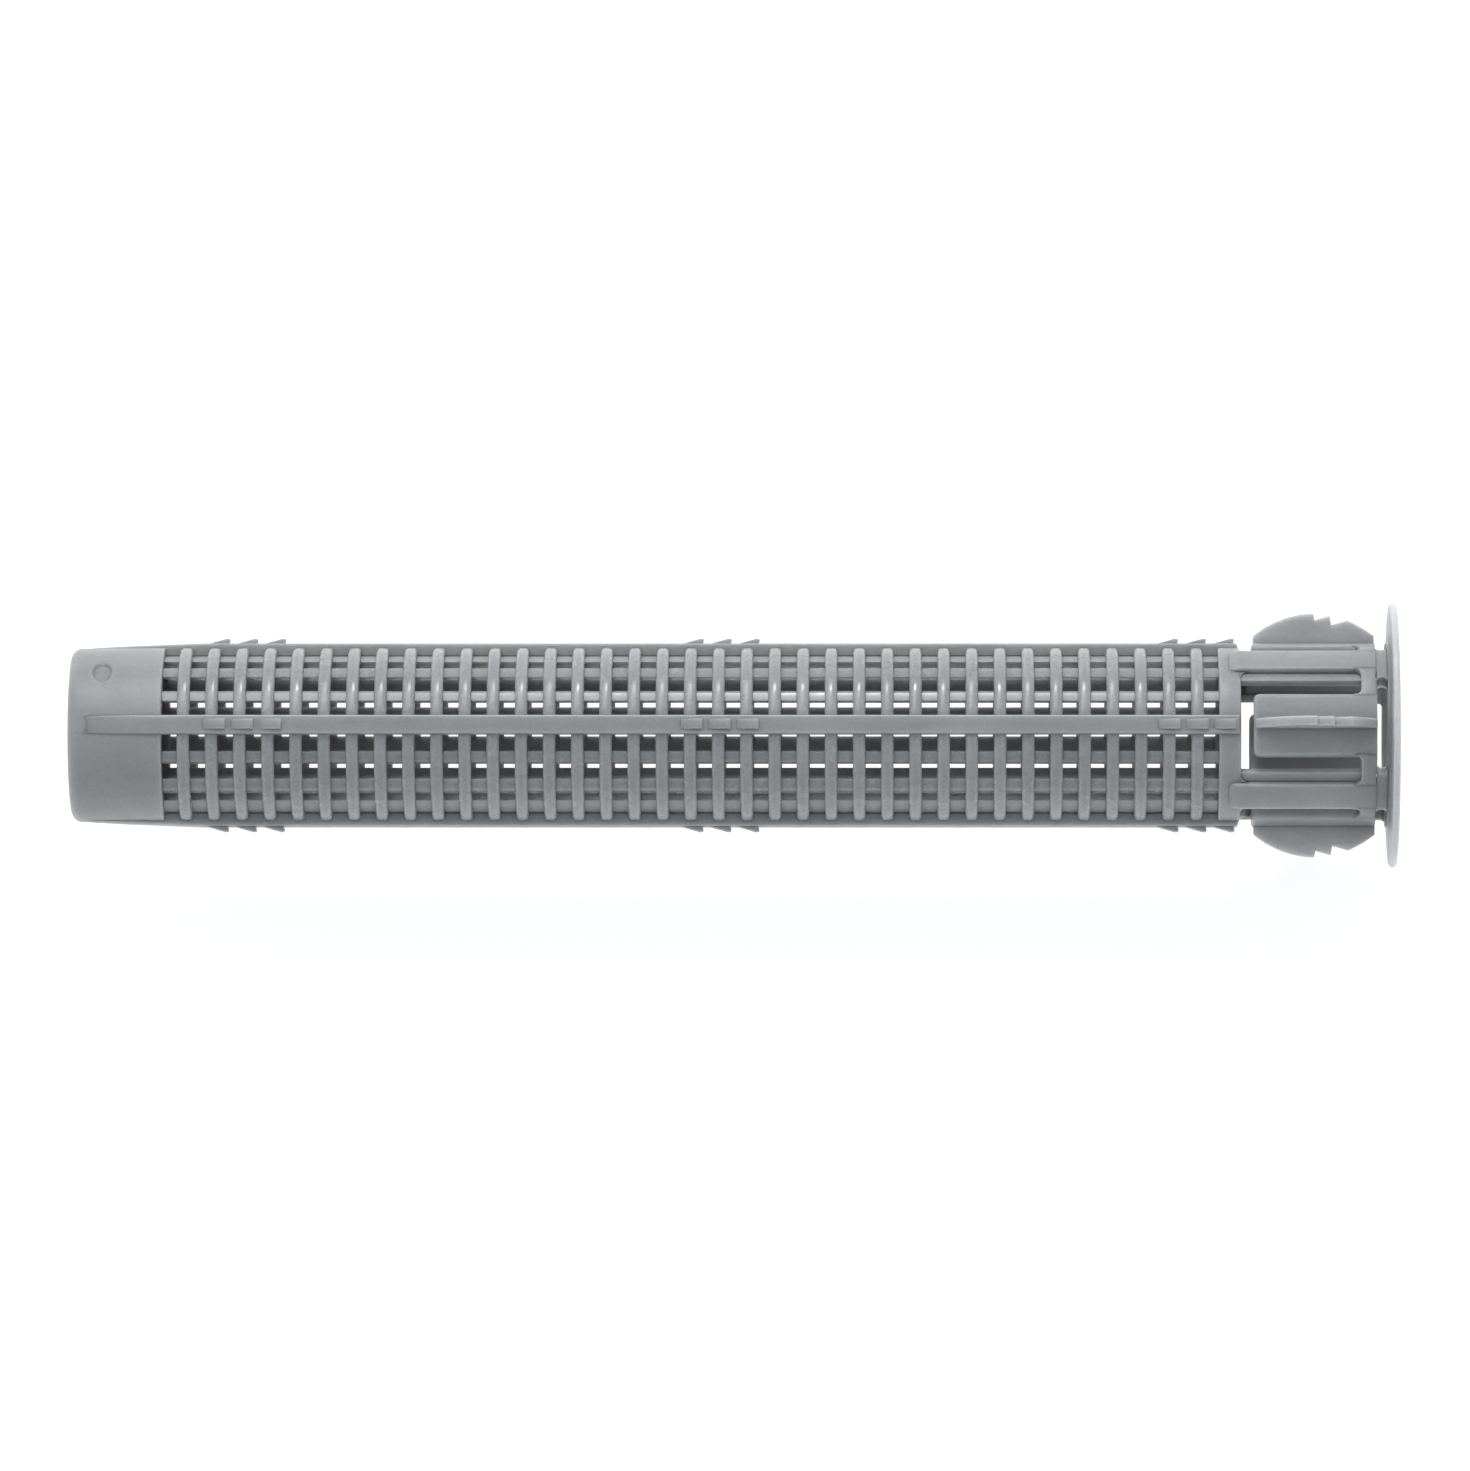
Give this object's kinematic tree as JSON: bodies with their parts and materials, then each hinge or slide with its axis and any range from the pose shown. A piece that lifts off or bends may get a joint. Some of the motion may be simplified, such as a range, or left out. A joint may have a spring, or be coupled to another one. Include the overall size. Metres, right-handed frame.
{
  "type": "perforated anchor sleeve for injection mortar",
  "caption": "Slim perforated plastic sleeve with a closed tip, barbed spines, sprung finned tongues and a thin round collar, for resin-fixed threaded rod in masonry.",
  "frame": {"origin": "centre of the collar's wall-side face, on the sleeve's axis, which is where the wall's surface meets the drill hole's axis", "axes": "+X out of the wall along the sleeve, from the closed tip to the collar; +Z the way the mould opens, through the middle of the top tongue; +Y completes the right hand"},
  "size_m": [0.0855, 0.017, 0.017],
  "materials": {
    "grey_plastic": "cool mid-grey injection-moulded plastic, smooth and slightly satin"
  },
  "bodies": {
    "sleeve": {"tip_cup": "grey_plastic", "spine_top": "grey_plastic", "spine_left": "grey_plastic", "spine_bottom": "grey_plastic", "spine_right": "grey_plastic", "bar_top_inner_left": "grey_plastic", "bar_top_inner_right": "grey_plastic", "bar_top_outer_left": "grey_plastic", "bar_top_outer_right": "grey_plastic", "bar_bottom_inner_left": "grey_plastic", "bar_bottom_inner_right": "grey_plastic", "bar_bottom_outer_left": "grey_plastic", "bar_bottom_outer_right": "grey_plastic", "hoops_top_left": "grey_plastic", "hoops_bottom_left": "grey_plastic", "hoops_bottom_right": "grey_plastic", "hoops_top_right": "grey_plastic", "barbs_top": "grey_plastic", "barbs_left": "grey_plastic", "barbs_bottom": "grey_plastic", "barbs_right": "grey_plastic", "end_ring": "grey_plastic", "strut_top_left": "grey_plastic", "strut_bottom_left": "grey_plastic", "strut_bottom_right": "grey_plastic", "strut_top_right": "grey_plastic", "root_ring": "grey_plastic", "collar": "grey_plastic", "hinge_band_top": "grey_plastic", "hinge_band_left": "grey_plastic", "hinge_band_bottom": "grey_plastic", "hinge_band_right": "grey_plastic"},
    "tongue_top": {"tongue_top": "grey_plastic", "fin_top": "grey_plastic"},
    "tongue_left": {"tongue_left": "grey_plastic", "fin_left": "grey_plastic"},
    "tongue_bottom": {"tongue_bottom": "grey_plastic", "fin_bottom": "grey_plastic"},
    "tongue_right": {"tongue_right": "grey_plastic", "fin_right": "grey_plastic"}
  },
  "joints": [
    {"name": "tongue_top_flex", "type": "hinge", "parent": "sleeve", "child": "tongue_top", "pos_m": [-0.0014, 0, 0.0055], "axis": [0, -1, 0], "range_deg": [-4, 18], "stiffness_Nm_per_rad": 0.077},
    {"name": "tongue_left_flex", "type": "hinge", "parent": "sleeve", "child": "tongue_left", "pos_m": [-0.0014, 0.0055, 0], "axis": [0, 0, 1], "range_deg": [-4, 18], "stiffness_Nm_per_rad": 0.077},
    {"name": "tongue_bottom_flex", "type": "hinge", "parent": "sleeve", "child": "tongue_bottom", "pos_m": [-0.0014, 0, -0.0055], "axis": [0, 1, 0], "range_deg": [-4, 18], "stiffness_Nm_per_rad": 0.077},
    {"name": "tongue_right_flex", "type": "hinge", "parent": "sleeve", "child": "tongue_right", "pos_m": [-0.0014, -0.0055, 0], "axis": [0, 0, -1], "range_deg": [-4, 18], "stiffness_Nm_per_rad": 0.077}
  ]
}
